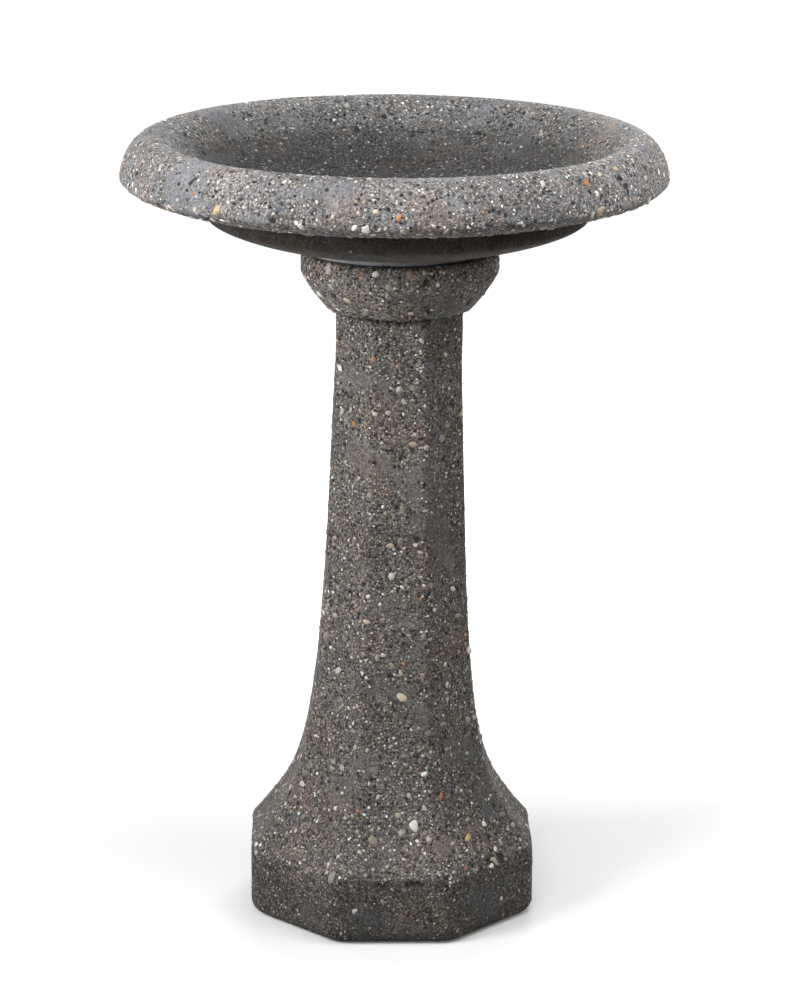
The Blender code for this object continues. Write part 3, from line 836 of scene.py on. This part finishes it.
STONE_RADIUS, STONE_RADIUS_SHAPE, STONE_RADIUS_SPREAD, STONE_RADIUS_LIMIT = 0.00150, 1.25, 0.00056, 0.0068
STONE_JITTER, STONE_CLOSENESS = 0.0009, 0.88       # beside its vertex, and how near it may come to the next
CLUMP_SIZE, CLUMP_SHARE, BARE_LOSS, BASE_MARGIN = 0.05, 0.55, 0.7, 0.005
BRIGHTEST_TINT = 1.30                              # a stone takes no more than this of the span's tone, painted light included
SEARCH_CELL = 0.0065
NEAR_CELLS = list(itertools.product(range(-2, 3), repeat=3))

FINE_FROM, DEEPER_SUNK = 0.0030, 0.12              # larger stones get the finer mesh and sit deeper
STONE_PROPORTIONS = ((1.0, 1.35), (0.75, 1.0), (0.45, 0.62))
STONE_TILT, STONE_LUMPS, STONE_SUNK = 0.16, 0.10, (0.55, 0.82)
STONE_SHADES, STONE_HUES = (0.8, 1.2), (0.975, 1.025)
STONE_MAP_REACH, STONE_MAP_LIMIT = 0.40, 1.25


def icosphere(subdivisions):
    shape = bmesh.new()
    bmesh.ops.create_icosphere(shape, subdivisions=subdivisions, radius=1.0)
    points = np.array([v.co[:] for v in shape.verts])
    faces = np.array([[v.index for v in f.verts] for f in shape.faces])
    shape.free()
    return points, faces


def area_per_vertex(mesh):
    area = np.zeros(len(mesh.vertices))
    for polygon in mesh.polygons:
        part = polygon.area / len(polygon.vertices)
        for v in polygon.vertices:
            area[v] += part
    return area


def with_room(centres, radius):
    """Which stones to lay, in the order given, so that none crowds one that is already there."""
    grid, kept = {}, []
    for k, (centre, size) in enumerate(zip(centres, radius)):
        x, y, z = np.floor(centre / SEARCH_CELL).astype(int)
        near = [j for dx, dy, dz in NEAR_CELLS for j in grid.get((x + dx, y + dy, z + dz), ())]
        away = centres[near] - centre
        if not (np.sum(away * away, 1) < (STONE_CLOSENESS * (radius[near] + size)) ** 2).any():
            grid.setdefault((x, y, z), []).append(k)
            kept.append(k)
    return np.array(kept)


def scatter(mesh, body, made, skin_seed, seed):
    """Places for stones on a skin: point, outward direction, radius, the span's tone with its painted light
    and shade, and own colour if it has one.

    The large stones go down first, then the others from big to small.
    """
    rng = np.random.default_rng(seed)
    rows, names, _ = made
    points, normals = positions_and_normals(mesh)
    large = LARGE_STONES[body]
    clumps = 1.0 + CLUMP_SHARE * rough_noise(points, CLUMP_SIZE, seed + 3, 2)
    weight = area_per_vertex(mesh) * spread_over_rows(rows, names, "stones") * clumps
    weight *= 1.0 - BARE_LOSS * bare_share(points, skin_seed)
    weight *= (spread_over_rows(rows, names, "relief") > 0) & (points[:, 2] > BASE_MARGIN)
    count = int(weight.sum())
    picks = rng.choice(len(points), count, p=weight / weight.sum())
    radius = STONE_RADIUS + rng.gamma(STONE_RADIUS_SHAPE, STONE_RADIUS_SPREAD, count)
    radius = np.minimum(radius, STONE_RADIUS_LIMIT) * spread_over_rows(rows, names, "size")[picks]
    order = np.argsort(-radius)
    first = [np.linalg.norm(points - facing(*stone[:3]), axis=1).argmin() for stone in large]
    picks = np.r_[first, picks[order]]
    radius = np.r_[[stone[3] for stone in large], radius[order]]
    own = np.full((len(picks), 3), np.nan)
    own[:len(large)] = [stone[4] for stone in large]
    side = rng.normal(size=(len(picks), 3))
    side -= (side * normals[picks]).sum(1)[:, None] * normals[picks]
    centres = points[picks] + side * STONE_JITTER
    kept = with_room(centres, radius)
    # Stones take the span's tone with its painted light and shade, up to BRIGHTEST_TINT.
    stone_tone_and_light = np.minimum(spread_over_rows(rows, names, "tone_and_painted_light")[picks[kept]], BRIGHTEST_TINT)
    return centres[kept], normals[picks[kept]], radius[kept], stone_tone_and_light, own[kept]


def stones_piece(name, places, seed, material, dark_share):
    """One piece of closed, irregular stones set part way into the skin.

    dark_share is how many of the palette's dark stones are used.
    """
    rng = np.random.default_rng(seed)
    centres, normals, radius, stone_tone_and_light, own = places
    coarse, fine = icosphere(1), icosphere(2)
    shares = np.array([share * (dark_share if sum(tone) < DARK_TONE else 1.0) for share, tone in PALETTE])
    colours = np.array([tone for _, tone in PALETTE])
    picked = rng.choice(len(PALETTE), len(radius), p=shares / shares.sum())
    tones = colours[picked] * rng.uniform(*STONE_SHADES, len(radius))[:, None]
    # Each stone's colour times the span's tone and painted light and shade.
    tones *= rng.uniform(*STONE_HUES, (len(radius), 3)) * stone_tone_and_light
    tones = np.where(np.isnan(own), tones, own)
    grid = int(math.ceil(math.sqrt(len(radius))))
    vertices, faces, tone, cells, start = [], [], [], [], 0
    for k in range(len(radius)):
        large = radius[k] > FINE_FROM
        shape, sides = fine if large else coarse
        up = normals[k] + rng.normal(0, STONE_TILT, 3)
        up /= np.linalg.norm(up)
        along = np.cross(up, rng.normal(size=3))
        along /= np.linalg.norm(along)
        across = np.cross(up, along)
        proportions = np.array([rng.uniform(*limits) for limits in STONE_PROPORTIONS])
        lump = 1.0 + rng.normal(0, STONE_LUMPS, len(shape))
        local = shape * lump[:, None] * (radius[k] * proportions)
        sunk = radius[k] * proportions[2] * (rng.uniform(*STONE_SUNK) + DEEPER_SUNK * large)
        vertices.append(centres[k] - up * sunk + local @ np.array((along, across, up)))
        faces.append(sides + start)
        tone.append(np.repeat(tones[k:k + 1], len(shape), 0))
        cell = np.array((k % grid + 0.5, k // grid + 0.5)) / grid
        spread = np.clip(shape[:, :2] * lump[:, None] / STONE_MAP_LIMIT, -1, 1)
        cells.append(cell + STONE_MAP_REACH / grid * spread)
        start += len(shape)
    vertices, faces, cells = np.vstack(vertices), np.vstack(faces), np.vstack(cells)
    thing = new_mesh(name, vertices, faces.tolist(), material)
    colour_attribute(thing.data, "stone", np.vstack(tone))
    bake_map(thing.data, cells[faces.ravel()])
    return thing


# ---------------------------------------------------------------- pieces
BOWL_SEED, BOWL_PITS, BOWL_STONES_SEED, BOWL_DARK_SHARE = 11, 320, 31, 0.45
PEDESTAL_SEED, PEDESTAL_PITS, PEDESTAL_STONES_SEED, PEDESTAL_DARK_SHARE = 23, 520, 41, 1.0

bowl_concrete = concrete_material("bowl_aggregate", (0.190, 0.188, 0.188), (0.135, 0.134, 0.137),
                                  0.70, 0.10)
pedestal_concrete = concrete_material("pedestal_aggregate", (0.150, 0.142, 0.133), (0.112, 0.106, 0.100),
                                      0.95, 0.22)
stones = stone_material("embedded_stones")

bowl_rows = shift_bowl_body(stacked(bowl_spans(), round_ring))
bowl = make_skin("bowl_shell", bowl_rows, BOWL_SEED, BOWL_PITS, bowl_concrete, True)
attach(bowl, "bowl")
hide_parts("bowl")

pedestal_rows = lean_pedestal(stacked(pedestal_spans(), octagon_ring))
pedestal = make_skin("pedestal_casting", pedestal_rows, PEDESTAL_SEED, PEDESTAL_PITS, pedestal_concrete,
                     False)
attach(pedestal, "pedestal")
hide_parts("pedestal")

bowl_places = scatter(bowl.data, "bowl", bowl_rows, BOWL_SEED, BOWL_STONES_SEED)
bowl_stones = stones_piece("bowl_stones", bowl_places, BOWL_STONES_SEED + 1, stones, BOWL_DARK_SHARE)
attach(bowl_stones, "bowl")

pedestal_places = scatter(pedestal.data, "pedestal", pedestal_rows, PEDESTAL_SEED, PEDESTAL_STONES_SEED)
pedestal_stones = stones_piece("pedestal_stones", pedestal_places, PEDESTAL_STONES_SEED + 1, stones,
                               PEDESTAL_DARK_SHARE)
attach(pedestal_stones, "pedestal")

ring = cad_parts["seat_ring"]
ring.data.materials.clear()
ring.data.materials.append(ring_material("bedding_cement"))

# ---------------------------------------------------------------- floor, light and background
FLOOR_RADIUS, FLOOR_DROP = 14.0, 0.0004
FLOOR_BOUNCE, FLOOR_SEEN = (0.24, 0.24, 0.24), (0.85, 0.85, 0.85)
GLOW_START, GLOW_END, GLOW_NEAR, GLOW_FAR = 0.22, 1.2, 0.10, 0.90
WORLD_STRENGTH = 0.19

# Name, azimuth and elevation in degrees, distance, size, power in watts, height of what it aims at. Azimuth
# 0 is on the camera's side and grows towards +X.
LAMPS = [("key", -57.0, 17.0, 1.75, 0.9, 31.0, 0.66),
         ("top", 58.0, 60.0, 1.25, 0.8, 8.2, 0.73),
         ("front", -12.0, 38.0, 2.6, 1.3, 18.8, 0.62),
         ("fill", 64.0, 27.0, 1.2, 0.7, 4.6, 0.62),
         ("back", 172.0, 28.0, 2.2, 1.3, 25.0, 0.42)]


def seen_share(g):
    """1 for what the camera sees straight, in a reflection or through glass."""
    path = g.node("ShaderNodeLightPath")
    seen = g.math("MAXIMUM", path.outputs["Is Camera Ray"], path.outputs["Is Glossy Ray"])
    return g.math("MAXIMUM", seen, path.outputs["Is Transmission Ray"])


def make_floor():
    shape = bmesh.new()
    bmesh.ops.create_circle(shape, cap_ends=True, segments=96, radius=FLOOR_RADIUS)
    mesh = bpy.data.meshes.new("floor")
    shape.to_mesh(mesh)
    shape.free()
    floor = link(bpy.data.objects.new("floor", mesh))
    floor.location.z = -FLOOR_DROP
    g = Graph(bpy.data.materials.new("pale_floor"))
    g.tree.nodes.remove(g.tree.nodes["Principled BSDF"])
    seen = seen_share(g)
    lit = g.feed_all(g.node("ShaderNodeBsdfDiffuse"), g.mix(seen, FLOOR_BOUNCE, FLOOR_SEEN))[0]
    away = g.vector("LENGTH", g.place())
    glow = g.node("ShaderNodeEmission")
    g.feed(glow.inputs["Strength"], g.times(seen, g.step(away, GLOW_START, GLOW_END, GLOW_NEAR, GLOW_FAR)))
    total = g.feed_all(g.node("ShaderNodeAddShader"), lit, glow.outputs[0])[0]
    g.feed(g.tree.nodes["Material Output"].inputs["Surface"], total)
    floor.data.materials.append(g.owner)


def make_world():
    world = bpy.data.worlds.new("studio")
    bpy.context.scene.world = world
    g = Graph(world)
    background = g.tree.nodes["Background"]
    background.inputs["Color"].default_value = (1.0, 1.0, 1.0, 1.0)
    g.feed(background.inputs["Strength"],
           g.math("MULTIPLY_ADD", seen_share(g), 1.0 - WORLD_STRENGTH, WORLD_STRENGTH))


def area_light(name, azimuth, elevation, distance, size, power, aim_height):
    data = bpy.data.lights.new(name, "AREA")
    data.shape = "DISK"
    data.size = size
    data.energy = power
    lamp = link(bpy.data.objects.new(name, data))
    a, e = math.radians(azimuth), math.radians(elevation)
    back = np.array((math.sin(a) * math.cos(e), -math.cos(a) * math.cos(e), math.sin(e)))
    side = np.cross((0.0, 0.0, 1.0), back)
    side /= np.linalg.norm(side)
    turn = Matrix([list(v) for v in (side, np.cross(back, side), back)]).transposed().to_4x4()
    place = np.array((0.0, 0.0, aim_height)) + back * distance
    lamp.matrix_world = Matrix.Translation(place) @ turn


make_floor()
make_world()
for lamp_values in LAMPS:
    area_light(*lamp_values)

bpy.context.scene.view_settings.view_transform = "Standard"
